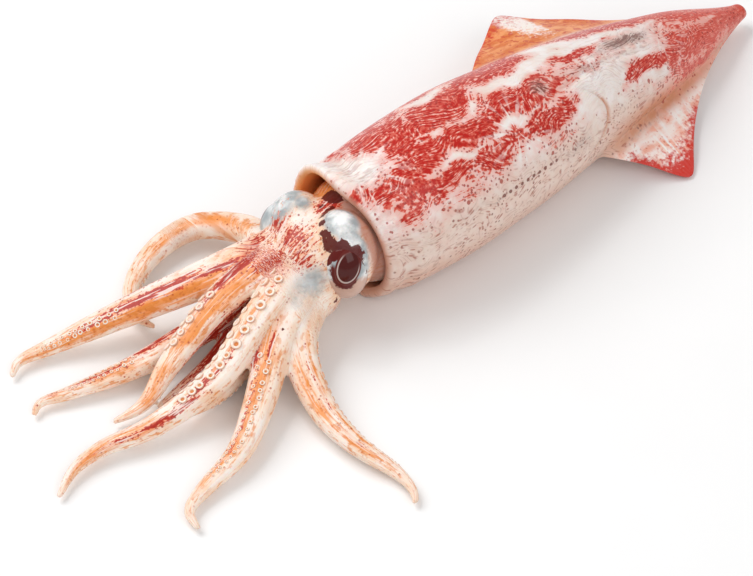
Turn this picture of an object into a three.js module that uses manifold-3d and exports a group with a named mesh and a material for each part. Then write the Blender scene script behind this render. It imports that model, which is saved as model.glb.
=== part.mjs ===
import * as THREE from 'three';
import Module from 'manifold-3d';

// A whole raw squid lying on its belly with its arms spread, in millimetres.
// +X runs to the tail, -Y to the squid's left side, +Z up.
// The origin is on the flat of the belly, under the thick of the mantle.

const wasm = await Module();
wasm.setup();

// Mantle: the tube that is the body, from the rim behind the head to the tail.
const RIM_X = -62;
const TAIL_X = 173;
const MANTLE_LENGTH = TAIL_X - RIM_X;
const GIRTH = 34.5;
const FLATNESS = 0.95;
const RIM_PINCH = 0.18;
const PINCH_REACH = 0.1;
const BELLY_SAG = 2;
const TAIL_LIFT = 7;
const TAIL_BLUNTNESS = 3.6;
const SWAY = 6.5;
const LOBE_LENGTH = 2;
const LOBE_WIDTH = 0.42;
const LOBE_REACH = 0.05;
const FLARE = 4;
const FLARE_DEGREES = 58;
const FLARE_WIDTH = 0.5;
const FLARE_REACH = 0.02;
const WALL = 4;
const RIM_ROUNDING = 1.5;
const MOUTH_DEPTH = 30;

// Fins: two pointed flaps on the rear half of the mantle, rolled a little to the right side.
const FIN_HALF_ARC = 8.5;
const FIN_EDGE_SHARE = 0.12;
const FIN_ROOT_FILLET = 1.3;
const FIN_TIP_SHARPNESS = 9;
const FINS = [
  { angle: 13, side: 1, front: 32, tip: 83, reach: 41, droop: 0.18, frontBend: 0.9, rearSweep: 3.6 },
  { angle: 207, side: -1, front: 54, tip: 82, reach: 32, droop: 0.32, frontBend: 1.15, rearSweep: 2.8 },
];

// Head: rounded masses that run together, as centre and half sizes.
const HEAD_MASSES = [
  { centre: [-54, -1, 27], half: [38, 18, 18] },
  { centre: [-56, -1.5, 25], half: [14, 23, 22] },
  { centre: [-80, -1, 24], half: [17, 18, 18] },
  { centre: [-72, -10.5, 30.5], half: [12, 15, 18] },
  { centre: [-74, 12.5, 28.5], half: [12.5, 13, 15.5] },
  { centre: [-87, -6, 18], half: [13, 15, 13] },
];
const EYES = [
  { name: 'eye_left', centre: [-76.5, -17, 28.5], half: [9, 9, 13.5] },
  { name: 'eye_right', centre: [-78, 17.5, 26.5], half: [9, 9, 12] },
];
const SOCKET_GAP = 0.35;

// Limbs: eight arms and two tentacles. Each path starts inside the head and ends at the tip.
const LIMB_TAPER = 1.8;
const LIMB_TIP = 1.1;
const LIMB_FLATNESS = 0.8;
const LIMB_STEPS = 15;
const LIMB_SIDES = 10;
const LIMBS = [
  // upper right arm
  { width: 7.6, suckers: [0.62, 0.94], path: [
    [-84, 10, 28], [-116, 22, 21], [-144, 36, 12], [-171, 47, 5], [-185, 50, 4], [-192, 46, 2.5]] },
  // right arm lying under the next one
  { width: 6.2, suckers: [0.55, 0.92], path: [
    [-90, 10, 20], [-105, 10, 14], [-128, 13, 7], [-156, 16, 6], [-181, 24, 4], [-192, 28, 3.5], [-198, 25, 2.5]] },
  // upper middle arm
  { width: 6.6, suckers: [0.42, 0.88], path: [
    [-86, 6, 30], [-120, 7, 22], [-147, 4, 12], [-165, -1, 6], [-179, 2, 3]] },
  // long middle arm
  { width: 6.2, suckers: [0.22, 0.9], path: [
    [-86, -2, 28], [-115, -10, 23], [-142, -16, 14], [-170, -13, 7], [-190, -7, 5], [-204, -7, 4], [-217, -13, 2.5]] },
  // arm lying under the long middle arm
  { width: 7.4, path: [
    [-90, -2, 18], [-112, -5, 10], [-139, -15, 6], [-159, -15, 4]] },
  // left arm that curls away from the head
  { width: 6.8, suckers: [0.3, 0.9], path: [
    [-86, -8, 24], [-112, -18, 18], [-137, -34, 10], [-156, -44, 6.5], [-175, -47, 4], [-186, -51, 3.5], [-189, -60, 2.5]] },
  // lower left arm
  { width: 6.2, path: [
    [-84, -10, 20], [-108, -25, 14], [-119, -48, 8], [-122, -69, 6.5], [-119, -89, 4], [-120, -99, 3.2], [-124, -105, 2.5]] },
  // short arm tucked under the left arm
  { width: 5.5, path: [
    [-88, -6, 13], [-110, -14, 6.5], [-128, -26, 5], [-146, -38, 3.5]] },
  // right tentacle, bent back in a loop
  { width: 6, path: [
    [-84, 18, 22], [-81, 38, 14], [-90, 57, 8], [-109, 59, 6], [-128, 51, 5], [-137, 38, 5], [-135, 28, 3.5]] },
  // left tentacle, drawn in under the middle arms
  { width: 4.5, path: [
    [-88, 2, 13], [-112, 3, 6], [-134, -2, 4.5], [-162, -4, 3]] },
];

// Suckers: two rows of low discs on the upturned face of an arm.
const SUCKER_PITCH = 7.5;
const SUCKER_SIDES = 6;
const SUCKER_SHARE = 0.3;
const SUCKER_HEIGHT = 1.1;
const SUCKER_SUNK = 0.9;
const SUCKER_ROW_ANGLE = 0.45;

const radians = THREE.MathUtils.degToRad;

// Joins rings of equal count into a closed skin with a fan at each end, facing out.
function loft(rings) {
  const sides = rings[0].length;
  const points = rings.flat();
  const last = points.length;
  points.push(middle(rings[0]), middle(rings[rings.length - 1]));
  const triangles = [];
  for (let i = 0; i < rings.length - 1; i += 1) {
    for (let j = 0; j < sides; j += 1) {
      const next = (j + 1) % sides;
      const a = i * sides + j;
      const b = i * sides + next;
      triangles.push([a, b, b + sides], [a, b + sides, a + sides]);
    }
  }
  const end = (rings.length - 1) * sides;
  for (let j = 0; j < sides; j += 1) {
    const next = (j + 1) % sides;
    triangles.push([last, next, j], [last + 1, end + j, end + next]);
  }
  if (volumeOf(points, triangles) < 0) {
    triangles.forEach((triangle) => triangle.reverse());
  }
  return solidOf(points, triangles);
}

function middle(ring) {
  const sum = new THREE.Vector3();
  ring.forEach((point) => sum.add(point));
  return sum.divideScalar(ring.length);
}

function volumeOf(points, triangles) {
  let total = 0;
  for (const [a, b, c] of triangles) {
    total += points[a].dot(new THREE.Vector3().crossVectors(points[b], points[c]));
  }
  return total / 6;
}

function solidOf(points, triangles) {
  const vertProperties = new Float32Array(points.flatMap((point) => point.toArray()));
  const triVerts = new Uint32Array(triangles.flat());
  return new wasm.Manifold(new wasm.Mesh({ numProp: 3, vertProperties, triVerts }));
}

// Radius of the mantle at the share s of its length from the rim: full ahead of the middle,
// drawn in a little at the rim, and ending in a small round tail.
function mantleRadius(s) {
  const barrel = (1 - s ** 2) ** 0.8;
  const cone = Math.max(0, GIRTH * (barrel - RIM_PINCH * Math.exp(-s / PINCH_REACH)));
  const past = Math.max(0, 1 - (1 - s) * (MANTLE_LENGTH / TAIL_BLUNTNESS));
  const round = TAIL_BLUNTNESS * Math.sqrt(1 - past ** 2) * THREE.MathUtils.smoothstep(s, 0.85, 0.97);
  return Math.cbrt(cone ** 3 + round ** 3);
}

function mantleCentre(s) {
  const y = -SWAY * (1 - Math.exp(-s / 0.08)) * (1 - 0.5 * s);
  const z = FLATNESS * mantleRadius(s) - BELLY_SAG + TAIL_LIFT * s ** 4;
  return { y, z };
}

// The dorsal lobe carries the top of the rim forward over the head.
function lobeAt(angle, s) {
  const fromTop = (angle - Math.PI / 2) / LOBE_WIDTH;
  return LOBE_LENGTH * Math.exp(-(fromTop ** 2)) * Math.exp(-s / LOBE_REACH);
}

// The rim turns outward a little on the right side.
function flareAt(angle, s) {
  const fromMiddle = (angle - radians(FLARE_DEGREES)) / FLARE_WIDTH;
  return FLARE * Math.exp(-(fromMiddle ** 2)) * Math.exp(-s / FLARE_REACH);
}

// How far a fin stands out at x: the front and rear edges meet in a rounded tip.
function finReach(fin, x) {
  if (x <= fin.front) {
    return 0;
  }
  const front = ((x - fin.front) / (fin.tip - fin.front)) ** fin.frontBend;
  const rear = (1 - (x - fin.tip) / (TAIL_X - fin.tip)) ** fin.rearSweep;
  const blend = front ** -FIN_TIP_SHARPNESS + rear ** -FIN_TIP_SHARPNESS;
  return fin.reach * blend ** (-1 / FIN_TIP_SHARPNESS);
}

// Share of the fin's reach that each point round the mantle takes, 1 along the fin's edge.
function finShare(fin, degrees) {
  const across = Math.abs(degrees - fin.angle) / FIN_HALF_ARC;
  if (across >= 1) {
    return 0;
  }
  return Math.min(1, (1 - across) / (1 - FIN_EDGE_SHARE)) ** FIN_ROOT_FILLET;
}

function mantlePoint(s, degrees, inset) {
  const angle = radians(degrees);
  const radius = mantleRadius(s) - inset + flareAt(angle, s);
  const centre = mantleCentre(s);
  const point = new THREE.Vector3(
    RIM_X + MANTLE_LENGTH * s - lobeAt(angle, s),
    centre.y + radius * Math.cos(angle),
    centre.z + FLATNESS * radius * Math.sin(angle),
  );
  if (inset === 0) {
    for (const fin of FINS) {
      const out = finReach(fin, RIM_X + MANTLE_LENGTH * s) * finShare(fin, degrees);
      point.y += fin.side * out;
      point.z -= fin.droop * out;
    }
  }
  point.z = Math.max(point.z, inset > 0 ? WALL * 0.6 : 0);
  return point;
}

// Degrees round the mantle, closer together where a fin grows out.
function mantleAngles() {
  const angles = [];
  const across = [-1, -0.7, -0.4, -FIN_EDGE_SHARE, FIN_EDGE_SHARE, 0.4, 0.7, 1];
  for (const fin of FINS) {
    across.forEach((share) => angles.push(fin.angle + share * FIN_HALF_ARC));
  }
  for (let degrees = 36; degrees < 190; degrees += 12.5) {
    angles.push(degrees);
  }
  // The belly's flat lies between 251 and 289 degrees.
  angles.push(228, 240, 251, 289, 302, 316, 330, 346);
  return angles.sort((a, b) => a - b);
}

function mantleSolid() {
  const angles = mantleAngles();
  const ring = (s, inset) => angles.map((degrees) => mantlePoint(s, degrees, inset));
  const rings = [];
  const shares = [0.9993, 0.9965, 0.991, 0.97, 0.94, 0.9, 0.86, 0.82, 0.78, 0.745, 0.715, 0.69, 0.67,
    0.652, 0.636, 0.62, 0.605, 0.59, 0.57, 0.545, 0.52, 0.49, 0.455, 0.42, 0.38, 0.33, 0.285, 0.235, 0.18,
    0.13, 0.085, 0.045, 0.025, 0.01, 0];
  shares.forEach((s) => rings.push(ring(s, 0)));
  const lip = ring(0, WALL / 2);
  lip.forEach((point) => {
    point.x -= RIM_ROUNDING;
  });
  rings.push(lip);
  for (let i = 0; i <= 4; i += 1) {
    rings.push(ring((i / 4) * (MOUTH_DEPTH / MANTLE_LENGTH), WALL));
  }
  rings.push(ring((MOUTH_DEPTH + 3) / MANTLE_LENGTH, WALL * 3));
  return loft(rings);
}

function ellipsoidSolid(centre, half, grow = 0, sides = 14, rows = 10) {
  const rings = [];
  for (let i = 1; i < rows; i += 1) {
    const tilt = Math.PI * (i / rows);
    const ring = [];
    for (let j = 0; j < sides; j += 1) {
      const turn = 2 * Math.PI * (j / sides);
      ring.push(new THREE.Vector3(
        centre[0] - (half[0] + grow) * Math.cos(tilt),
        centre[1] + (half[1] + grow) * Math.sin(tilt) * Math.cos(turn),
        centre[2] + (half[2] + grow) * Math.sin(tilt) * Math.sin(turn),
      ));
    }
    rings.push(ring);
  }
  return loft(rings);
}

function limbCurve(limb) {
  const points = limb.path.map((place) => new THREE.Vector3(...place));
  return new THREE.CatmullRomCurve3(points, false, 'catmullrom', 0.5);
}

function limbHalfWidth(limb, t) {
  return limb.width * (1 - t ** LIMB_TAPER) ** 0.9 + LIMB_TIP * Math.min(1, (1.02 - t) / 0.04);
}

// The limb's own directions at t: along it, across it and up from it.
function limbFrame(curve, t) {
  const along = curve.getTangentAt(t);
  const across = new THREE.Vector3(0, 0, 1).cross(along).normalize();
  const up = new THREE.Vector3().crossVectors(along, across);
  return { place: curve.getPointAt(t), along, across, up };
}

// Point on the limb's skin at t, with the angle counted from across towards up.
function limbPoint(limb, frame, t, angle) {
  const half = limbHalfWidth(limb, t);
  const point = frame.place.clone();
  point.addScaledVector(frame.across, half * Math.cos(angle));
  point.addScaledVector(frame.up, LIMB_FLATNESS * half * Math.sin(angle));
  point.z = Math.max(point.z, 0);
  return point;
}

function limbSolid(limb) {
  const curve = limbCurve(limb);
  const rings = [];
  for (let i = 0; i <= LIMB_STEPS; i += 1) {
    const t = i / LIMB_STEPS;
    const frame = limbFrame(curve, t);
    const ring = [];
    for (let j = 0; j < LIMB_SIDES; j += 1) {
      ring.push(limbPoint(limb, frame, t, 2 * Math.PI * ((j + 0.5) / LIMB_SIDES)));
    }
    rings.push(ring);
  }
  return loft(rings);
}

// A low six-sided disc standing on the skin, its foot sunk in it.
function suckerSolid(limb, curve, t, row) {
  const frame = limbFrame(curve, t);
  const angle = Math.PI / 2 + row * SUCKER_ROW_ANGLE;
  const foot = limbPoint(limb, frame, t, angle);
  const out = foot.clone().sub(frame.place).normalize();
  const across = new THREE.Vector3().crossVectors(frame.along, out).normalize();
  const radius = limbHalfWidth(limb, t) * SUCKER_SHARE;
  const rings = [-SUCKER_SUNK, SUCKER_HEIGHT].map((height, level) => {
    const ring = [];
    for (let j = 0; j < SUCKER_SIDES; j += 1) {
      const turn = 2 * Math.PI * (j / SUCKER_SIDES);
      const reach = radius * (level === 0 ? 1 : 0.85);
      const point = foot.clone().addScaledVector(out, height);
      point.addScaledVector(frame.along, reach * Math.cos(turn));
      point.addScaledVector(across, reach * Math.sin(turn));
      ring.push(point);
    }
    return ring;
  });
  return loft(rings);
}

function suckerSolids(limb) {
  const curve = limbCurve(limb);
  const [from, to] = limb.suckers;
  const count = Math.round((curve.getLength() * (to - from)) / SUCKER_PITCH);
  const discs = [];
  for (let i = 0; i <= count; i += 1) {
    const row = i % 2 === 0 ? 1 : -1;
    discs.push(suckerSolid(limb, curve, from + (to - from) * (i / count), row));
  }
  return discs;
}

function meshOf(name, solid, colour, roughness) {
  const { vertProperties, triVerts } = solid.getMesh();
  const geometry = new THREE.BufferGeometry();
  geometry.setAttribute('position', new THREE.BufferAttribute(vertProperties, 3));
  geometry.setIndex(new THREE.BufferAttribute(triVerts, 1));
  geometry.computeVertexNormals();
  const material = new THREE.MeshStandardMaterial({ color: colour, roughness, metalness: 0 });
  const mesh = new THREE.Mesh(geometry, material);
  mesh.name = name;
  return mesh;
}

const squidParts = [
  mantleSolid(),
  ...HEAD_MASSES.map((mass) => ellipsoidSolid(mass.centre, mass.half)),
  ...LIMBS.map(limbSolid),
  ...LIMBS.filter((limb) => limb.suckers).flatMap(suckerSolids),
];
let squid = squidParts.reduce((whole, next) => whole.add(next));
for (const eye of EYES) {
  squid = squid.subtract(ellipsoidSolid(eye.centre, eye.half, SOCKET_GAP));
}

const group = new THREE.Group();
group.add(meshOf('squid', squid, 0xd9a796, 0.35));
for (const eye of EYES) {
  group.add(meshOf(eye.name, ellipsoidSolid(eye.centre, eye.half), 0x3a1514, 0.15));
}

export default group;
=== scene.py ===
# %% [markdown]
# # A whole raw squid
# A squid is a tube of muscle, the mantle, with two fins on its rear half, and a head with
# eight arms and two tentacles that sits in the mouth of the tube. Its skin is a pearly film
# with thousands of small colour sacs, which bunch up into red patches on the back.
# The measured solid is loaded first. Every piece below is worked out from the same sizes,
# so it lands on that solid with no fitting.

# %% Load the measured solid
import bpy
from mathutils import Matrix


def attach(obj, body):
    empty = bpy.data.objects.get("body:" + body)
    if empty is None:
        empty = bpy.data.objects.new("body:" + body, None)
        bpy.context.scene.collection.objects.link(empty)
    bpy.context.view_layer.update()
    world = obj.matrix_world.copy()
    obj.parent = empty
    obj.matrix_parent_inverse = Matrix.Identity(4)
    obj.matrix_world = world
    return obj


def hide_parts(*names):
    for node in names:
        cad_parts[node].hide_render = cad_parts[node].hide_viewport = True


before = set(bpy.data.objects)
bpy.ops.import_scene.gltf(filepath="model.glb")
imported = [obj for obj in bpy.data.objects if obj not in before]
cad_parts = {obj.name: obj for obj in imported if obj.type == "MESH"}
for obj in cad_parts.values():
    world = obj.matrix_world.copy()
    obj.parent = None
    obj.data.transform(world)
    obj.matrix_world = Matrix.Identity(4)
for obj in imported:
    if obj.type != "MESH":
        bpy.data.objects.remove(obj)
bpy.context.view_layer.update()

# %% [markdown]
# ## Tools of the bench
# Shapes are computed in millimetres, as a maker would measure them, and are turned into
# Blender's metres only when a mesh is made. One seeded generator gives every random number,
# so each run makes the same squid.

# %% Libraries and units
import math

import bpy
import numpy as np
from mathutils import Vector

MM = 0.001
SEED = 11
random = np.random.default_rng(SEED)
scene = bpy.context.scene


def linear(code):
    """Turn a #rrggbb colour into the linear numbers that a shader works with."""
    parts = np.array([int(code[i:i + 2], 16) for i in (1, 3, 5)]) / 255
    low, high = parts / 12.92, ((parts + 0.055) / 1.055) ** 2.4
    return (*np.where(parts <= 0.04045, low, high).tolist(), 1.0)


def smooth(value, low, high):
    """Rise from 0 at low to 1 at high along 3q^2 - 2q^3."""
    q = np.clip((value - low) / (high - low), 0, 1)
    return q * q * (3 - 2 * q)


def bell(value, middle, width):
    """A bump of height 1 at the middle that falls as exp(-(distance / width)^2)."""
    return np.exp(-((value - middle) / width) ** 2)


# %% [markdown]
# A closed skin through a stack of rings is the form used for nearly everything here: quads
# between neighbouring rings, and a fan at each end. Its faces have to point outwards, so the
# signed volume under them is summed and the order is turned round if it is negative.

# %% Skins from rings
def closed_skin(rings):
    """Points and faces of the closed surface through rings[ring, place on ring, xyz]."""
    count, sides, _ = rings.shape
    points = np.vstack([rings.reshape(-1, 3), rings[0].mean(0), rings[-1].mean(0)])
    ring, place = np.meshgrid(np.arange(count - 1), np.arange(sides), indexing="ij")
    here = ring * sides + place
    beside = ring * sides + (place + 1) % sides
    quads = np.stack([here, beside, beside + sides, here + sides], -1).reshape(-1, 4)
    turn = np.arange(sides)
    following = (turn + 1) % sides
    last = (count - 1) * sides
    first_fan = np.stack([np.full(sides, count * sides), following, turn], -1)
    last_fan = np.stack([np.full(sides, count * sides + 1), last + turn, last + following], -1)
    corners = points[quads]
    halves = (corners[:, 0] * np.cross(corners[:, 1], corners[:, 2])).sum()
    halves += (corners[:, 0] * np.cross(corners[:, 2], corners[:, 3])).sum()
    faces = [quads, first_fan, last_fan]
    if halves < 0:
        faces = [group[:, ::-1] for group in faces]
    return points, [face for group in faces for face in group.tolist()]


def make_piece(name, points, faces, finish):
    """A smooth-shaded object from points in millimetres."""
    mesh = bpy.data.meshes.new(name)
    mesh.from_pydata((points * MM).tolist(), [], faces)
    mesh.polygons.foreach_set("use_smooth", np.ones(len(mesh.polygons), dtype=bool))
    mesh.materials.append(finish)
    mesh.update()
    piece = bpy.data.objects.new(name, mesh)
    scene.collection.objects.link(piece)
    print(name, "has", len(mesh.vertices), "points and", len(mesh.polygons), "faces")
    return piece


def note(piece, name, columns):
    """Store up to three numbers on every point, for the finish to read as one vector."""
    columns = [np.broadcast_to(np.asarray(c, float), len(piece.data.vertices)) for c in columns]
    columns += [np.zeros(len(piece.data.vertices))] * (3 - len(columns))
    layer = piece.data.attributes.new(name, "FLOAT_VECTOR", "POINT")
    layer.data.foreach_set("vector", np.stack(columns, -1).astype(np.float32).ravel())


# %% [markdown]
# ## Writing finishes as sums
# A finish is a net of nodes. Writing it as arithmetic keeps it readable: `Wire` stands for a
# socket, and each operator on it adds the Math node that works the value out. Colours go
# through Mix nodes, because a Math node would turn them grey. A finish is then painted in
# layers, each a colour and the share of it that shows.

# %% Shader arithmetic
class Wire:
    """A number in the shader that can be added, multiplied and so on."""

    def __init__(self, finish, socket):
        self.finish = finish
        self.socket = socket

    def __add__(self, other):
        return self.finish.math("ADD", self, other)

    def __sub__(self, other):
        return self.finish.math("SUBTRACT", self, other)

    def __rsub__(self, other):
        return self.finish.math("SUBTRACT", other, self)

    def __mul__(self, other):
        return self.finish.math("MULTIPLY", self, other)

    __radd__ = __add__
    __rmul__ = __mul__

    def rise(self, low, high):
        """0 below low, 1 above high, and a soft step between."""
        settings = {"interpolation_type": "SMOOTHSTEP"}
        values = {"Value": self, "From Min": low, "From Max": high}
        return self.finish.node("ShaderNodeMapRange", settings, values)

    def fall(self, low, high):
        """1 below low, 0 above high, and a soft step between."""
        return 1 - self.rise(low, high)


class Finish:
    """A material with one Principled shader, built by method calls."""

    def __init__(self, name, **constants):
        self.material = bpy.data.materials.new(name)
        self.material.use_nodes = True
        self.tree = self.material.node_tree
        self.shader = self.tree.nodes["Principled BSDF"]
        self.body = "#FFFFFF"
        for socket, value in constants.items():
            self.shader.inputs[socket.replace("_", " ")].default_value = value

    def node(self, kind, settings, values, output=0):
        """Add a node, set it up, and feed its sockets with numbers, colours or wires."""
        node = self.tree.nodes.new(kind)
        for key, value in settings.items():
            setattr(node, key, value)
        for key, value in values.items():
            self.feed(node.inputs[key], value)
        return Wire(self, node.outputs[output])

    def feed(self, socket, value):
        """Link a wire to a socket, or set it to a number or a #rrggbb colour."""
        if isinstance(value, Wire):
            self.tree.links.new(value.socket, socket)
        else:
            socket.default_value = linear(value) if isinstance(value, str) else value

    def math(self, operation, first, second):
        return self.node("ShaderNodeMath", {"operation": operation}, {0: first, 1: second})

    def blend(self, share, first, second):
        """The first colour where share is 0 and the second where it is 1."""
        values = {"Factor": share, 6: first, 7: second}
        return self.node("ShaderNodeMix", {"data_type": "RGBA"}, values, output=2)

    def paint(self, share, colour):
        """Lay a colour over all that was painted before, as far as share says."""
        self.body = self.blend(share, self.body, colour)

    def place(self):
        """Where the point is on the object, in millimetres."""
        spot = self.node("ShaderNodeTexCoord", {}, {}, output="Object")
        return self.stretch(spot, (1000, 1000, 1000))

    def stretch(self, vector, amounts):
        """Multiply each number of a vector by its own amount."""
        settings = {"operation": "MULTIPLY"}
        return self.node("ShaderNodeVectorMath", settings, {0: vector, 1: amounts})

    def note(self, name):
        """The three numbers stored on the points under a name."""
        return self.node("ShaderNodeAttribute", {"attribute_name": name}, {}, output="Vector")

    def parts(self, vector):
        """The three numbers of a vector, each as a wire."""
        split = self.tree.nodes.new("ShaderNodeSeparateXYZ")
        self.feed(split.inputs[0], vector)
        return [Wire(self, output) for output in split.outputs]

    def bend(self, vector, scale, amount):
        """Push a vector about by a slow coloured noise, so straight lines curve."""
        values = {"Vector": vector, "Scale": scale, "Detail": 1.0}
        push = self.node("ShaderNodeTexNoise", {}, values, output="Color")
        values = {0: push, 1: (amount, amount, 0), 2: vector}
        return self.node("ShaderNodeVectorMath", {"operation": "MULTIPLY_ADD"}, values)

    def noise(self, vector, scale, detail=3.0):
        """Soft random hills round 0.5."""
        values = {"Vector": vector, "Scale": scale, "Detail": detail, "Roughness": 0.55}
        return self.node("ShaderNodeTexNoise", {}, values)

    def drawn(self, vector, amounts, detail=3.0):
        """Noise drawn out in each direction by one over its amount."""
        return self.noise(self.stretch(vector, amounts), 1.0, detail)

    def cells(self, vector, scale, output="Distance"):
        """Distance from the middle of the nearest of many scattered cells."""
        return self.node("ShaderNodeTexVoronoi", {}, {"Vector": vector, "Scale": scale}, output)

    def chance(self, vector, scale):
        """A random number that is the same all over a cell."""
        return self.parts(self.cells(vector, scale, output="Color"))[0]

    def relief(self, height, depth_mm, strength):
        values = {"Height": height, "Distance": depth_mm * MM, "Strength": strength}
        return self.node("ShaderNodeBump", {}, values)

    def set(self, **values):
        """Feed the shader's own sockets, and give back the finished material."""
        for socket, value in values.items():
            self.feed(self.shader.inputs[socket.replace("_", " ")], value)
        print(self.material.name, "is a net of", len(self.tree.nodes), "nodes")
        return self.material


# %% [markdown]
# ## The mantle's form
# The mantle is a slightly flattened barrel that tapers to the tail. It could be modelled by
# hand from a cylinder, but its girth follows one plain curve, so a formula gives a truer and
# smoother form. Its place is given by s, the share of the length from the rim to the tail,
# and by an angle round it, with 90 degrees at the top of the back.

# %% Sizes of the mantle
RIM_X, TAIL_X = -62.0, 173.0
MANTLE_LENGTH = TAIL_X - RIM_X
GIRTH, FLATNESS = 34.5, 0.95
RIM_PINCH, PINCH_REACH = 0.18, 0.1
BELLY_SAG, TAIL_LIFT, SWAY = 2.0, 7.0, 6.5
LOBE_LENGTH, LOBE_WIDTH, LOBE_REACH = 2.0, 0.42, 0.05
FLARE, FLARE_DEGREES, FLARE_WIDTH, FLARE_REACH = 4.0, 58.0, 0.5, 0.02
WALL, RIM_ROUNDING, MOUTH_DEPTH = 4.0, 1.5, 30.0
TAIL_BLUNTNESS = 3.6


def mantle_radius(s):
    """GIRTH x ((1 - s^2)^0.8 - a pinch that fades from the rim), ending in a blunt tip."""
    barrel = np.maximum(1 - s ** 2, 0) ** 0.8
    cone = GIRTH * (barrel - RIM_PINCH * np.exp(-s / PINCH_REACH))
    past = np.clip((s * MANTLE_LENGTH - (MANTLE_LENGTH - TAIL_BLUNTNESS)) / TAIL_BLUNTNESS, 0, 1)
    blunt = TAIL_BLUNTNESS * np.sqrt(1 - past ** 2) * smooth(s, 0.85, 0.97)
    return (np.maximum(cone, 0) ** 3 + blunt ** 3) ** (1 / 3)


def mantle_centre(s):
    """The middle line sways a little to the left side, and rises at the tail."""
    y = -SWAY * (1 - np.exp(-s / 0.08)) * (1 - 0.5 * s)
    z = FLATNESS * mantle_radius(s) - BELLY_SAG + TAIL_LIFT * s ** 4
    return y, z


print("mantle", MANTLE_LENGTH, "mm long,", round(2 * float(mantle_radius(np.array(0.2))), 1), "mm wide")

# %% [markdown]
# ## The fins
# Each fin is the same skin drawn outwards, so it needs no join: over a narrow arc of the
# angle, points are carried out along the fin by a share that is 1 at its edge. Squaring the
# share makes the root thick and filleted and the flap thin, as the muscle is. The reach at
# each x is a front edge and a rear edge that meet in a rounded tip.

# %% Sizes of the fins
FIN_HALF_ARC, FIN_EDGE_SHARE, FIN_FILLET, FIN_TIP_SHARPNESS = 12.0, 0.07, 2.0, 9.0
FINS = (
    {"angle": 13.0, "side": 1, "front": 32.0, "tip": 83.0, "reach": 41.0, "droop": 0.18,
     "front_bend": 0.9, "rear_sweep": 3.6},
    {"angle": 207.0, "side": -1, "front": 54.0, "tip": 82.0, "reach": 32.0, "droop": 0.32,
     "front_bend": 1.15, "rear_sweep": 2.8},
)


def fin_reach(fin, x):
    """(front^-k + rear^-k)^(-1/k) of the two edges' heights, so the lower one wins softly."""
    front = np.clip((x - fin["front"]) / (fin["tip"] - fin["front"]), 1e-3, None) ** fin["front_bend"]
    rear = np.clip(1 - (x - fin["tip"]) / (TAIL_X - fin["tip"]), 1e-3, None) ** fin["rear_sweep"]
    edge = (front ** -FIN_TIP_SHARPNESS + rear ** -FIN_TIP_SHARPNESS) ** (-1 / FIN_TIP_SHARPNESS)
    return np.where(x > fin["front"], fin["reach"] * edge, 0)


def fin_share(fin, degrees):
    """((1 - distance across the arc) / (1 - edge))^2, at most 1."""
    across = np.abs(degrees - fin["angle"]) / FIN_HALF_ARC
    return np.clip((1 - across) / (1 - FIN_EDGE_SHARE), 0, 1) ** FIN_FILLET


# %% [markdown]
# ## Folds in the wall
# A dead squid's wall is slack: it has a soft unevenness everywhere, a fold that runs down the
# left side in front of the fin, a long shallow crease above it, and a turned lip behind the
# rim. On the right side the rim flares out, so that the head shows a gap beside it. These are
# real hollows in the mesh, not bump, so they catch light from every side.

# %% Relief of the mantle
def fold_place(degrees):
    """The fold's x: 57 less 13 times the square of (degrees from 150, over 32)."""
    return 57 - 13 * ((degrees - 150) / 32) ** 2


def mantle_relief(x, degrees):
    """Millimetres in or out of the plain barrel, as a sum of waves, folds and creases."""
    turn = np.radians(degrees)
    slack = 0.35 * np.sin(x / 19 + 1.3) * np.sin(2 * turn + 0.6)
    slack += 0.22 * np.sin(x / 8.5 + 2 * turn) * np.sin(3 * turn - x / 31)
    past_fold = x - fold_place(degrees)
    fold = -1.2 * bell(past_fold, 0, 1.1) + 0.8 * bell(past_fold, -4.5, 3.4)
    fold = fold * smooth(degrees, 116, 136) * (1 - smooth(degrees, 184, 200))
    crease_at = 117 + 4 * np.sin(x / 14)
    crease = -0.6 * bell(degrees, crease_at, 2.4) + 0.35 * bell(degrees, crease_at + 7, 4)
    crease = crease * smooth(x, 22, 45) * (1 - smooth(x, 88, 108))
    from_rim = x - RIM_X
    lip = 0.7 * bell(from_rim, 1.5, 2.2) - 0.7 * bell(from_rim, 6.5, 2.0)
    lip = lip + 0.35 * bell(from_rim, 11, 2.6)
    pleats = 0.22 * np.sin(degrees * 0.55 + from_rim * 0.1) * bell(from_rim, 9, 9)
    return slack + fold + crease + lip + pleats


def mantle_point(s, degrees, inset):
    """The barrel's point, inset by a wall, with the rim flared and the fins drawn out."""
    turn = np.radians(degrees)
    x = RIM_X + MANTLE_LENGTH * s
    centre_y, centre_z = mantle_centre(s)
    lobe = LOBE_LENGTH * bell(turn, math.pi / 2, LOBE_WIDTH) * np.exp(-s / LOBE_REACH)
    outer = np.where(inset > 0, 0.0, 1.0)
    fade = smooth(mantle_radius(s), 4, 16)
    flare = FLARE * bell(turn, math.radians(FLARE_DEGREES), FLARE_WIDTH) * np.exp(-s / FLARE_REACH)
    radius = mantle_radius(s) - inset + flare + outer * fade * mantle_relief(x, degrees)
    sides = x - lobe, centre_y + radius * np.cos(turn), centre_z + FLATNESS * radius * np.sin(turn)
    point = np.stack(np.broadcast_arrays(*sides), -1)
    for number, fin in enumerate(FINS):
        share = fin_share(fin, degrees)
        out = outer * fin_reach(fin, x) * share
        ripple = 0.9 * share * np.sin(x / 5.2 + 2.1 * number) * smooth(out, 6, 24)
        point[..., 1] += fin["side"] * out
        point[..., 2] += ripple - fin["droop"] * out
    floor = np.where(inset > 0, 0.6 * WALL, 0.0)
    point[..., 2] = np.maximum(point[..., 2], floor)
    return point


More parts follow.
